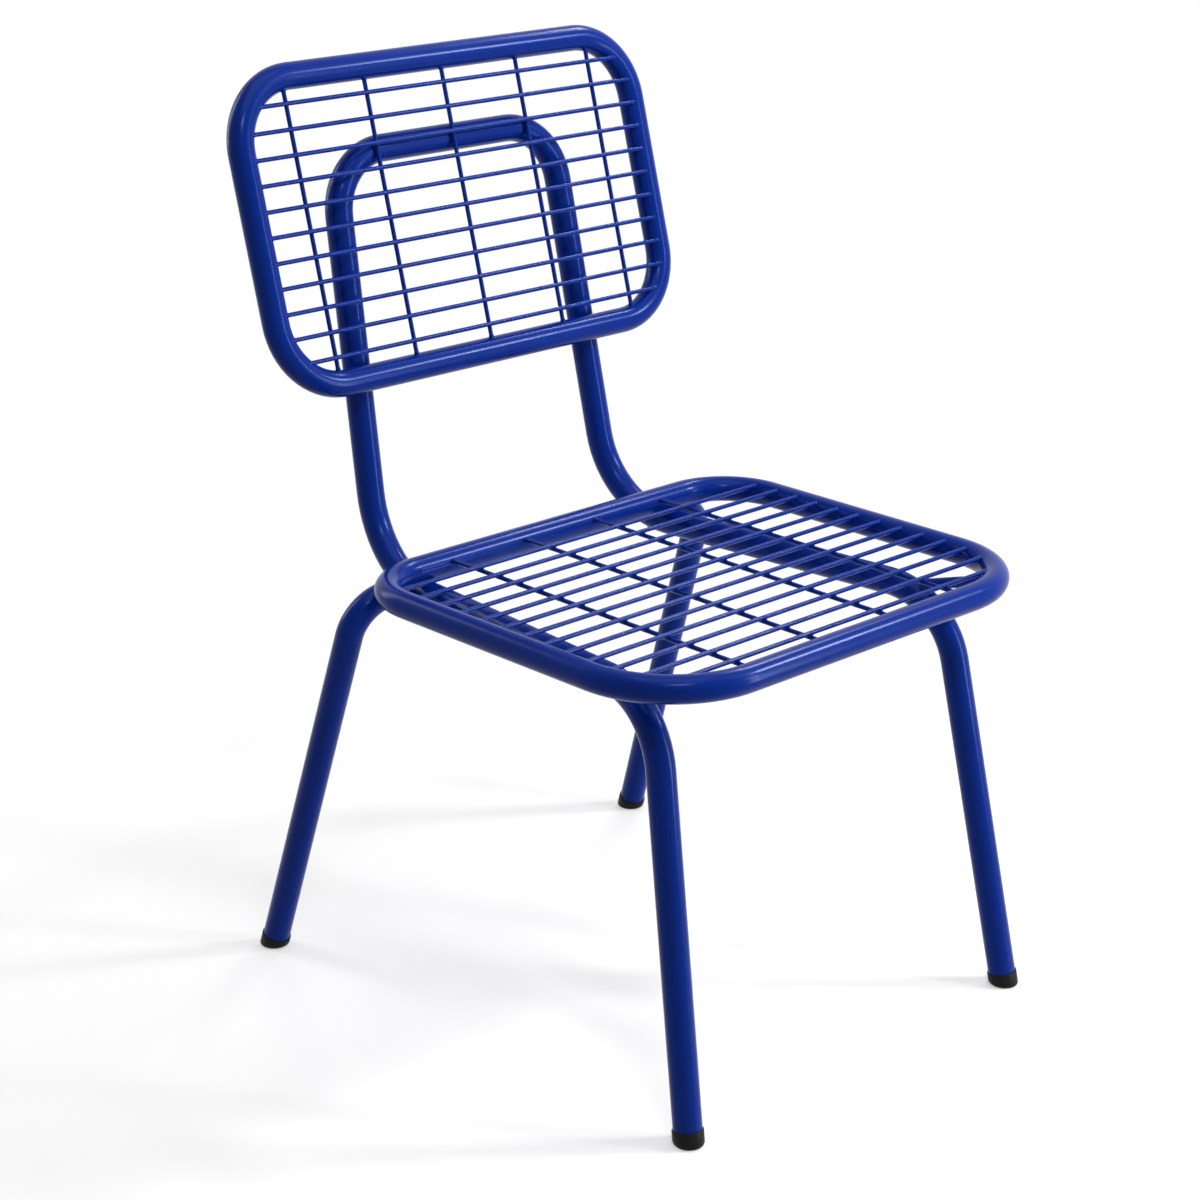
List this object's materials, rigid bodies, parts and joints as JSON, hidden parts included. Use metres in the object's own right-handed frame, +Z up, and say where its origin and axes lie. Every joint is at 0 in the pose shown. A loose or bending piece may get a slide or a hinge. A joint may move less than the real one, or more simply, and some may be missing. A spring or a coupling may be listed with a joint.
{
  "type": "wire mesh chair",
  "caption": "Armless welded tube chair with a wire-mesh seat and a wire-mesh back in round-cornered tube rings, on four splayed legs with foot caps.",
  "frame": {"origin": "floor level under the centre of the overall box", "axes": "+Z up, -Y is where a seated person faces, X is side to side"},
  "size_m": [0.494, 0.5652, 0.8176],
  "materials": {
    "blue_coat": "satin cobalt blue powder coat",
    "foot_plastic": "satin black"
  },
  "bodies": {
    "root": {"back_cross_wire_01": "blue_coat", "back_cross_wire_02": "blue_coat", "back_cross_wire_03": "blue_coat", "back_cross_wire_04": "blue_coat", "back_cross_wire_05": "blue_coat", "back_cross_wire_06": "blue_coat", "back_cross_wire_07": "blue_coat", "back_cross_wire_08": "blue_coat", "back_cross_wire_09": "blue_coat", "back_cross_wire_10": "blue_coat", "back_cross_wire_11": "blue_coat", "back_ring": "blue_coat", "back_upright_wire_1": "blue_coat", "back_upright_wire_2": "blue_coat", "back_upright_wire_3": "blue_coat", "back_upright_wire_4": "blue_coat", "back_upright_wire_5": "blue_coat", "foot_cap_front_left": "foot_plastic", "foot_cap_front_right": "foot_plastic", "foot_cap_rear_left": "foot_plastic", "foot_cap_rear_right": "foot_plastic", "main_frame": "blue_coat", "rear_leg_left": "blue_coat", "rear_leg_right": "blue_coat", "seat_cross_wire_01": "blue_coat", "seat_cross_wire_02": "blue_coat", "seat_cross_wire_03": "blue_coat", "seat_cross_wire_04": "blue_coat", "seat_cross_wire_05": "blue_coat", "seat_cross_wire_06": "blue_coat", "seat_cross_wire_07": "blue_coat", "seat_cross_wire_08": "blue_coat", "seat_cross_wire_09": "blue_coat", "seat_cross_wire_10": "blue_coat", "seat_cross_wire_11": "blue_coat", "seat_cross_wire_12": "blue_coat", "seat_cross_wire_13": "blue_coat", "seat_long_wire_1": "blue_coat", "seat_long_wire_2": "blue_coat", "seat_long_wire_3": "blue_coat", "seat_long_wire_4": "blue_coat", "seat_ring": "blue_coat", "seat_stay_left": "blue_coat", "seat_stay_right": "blue_coat", "weld_back_left": "blue_coat", "weld_back_right": "blue_coat", "weld_seat_left": "blue_coat", "weld_seat_right": "blue_coat"}
  },
  "joints": []
}
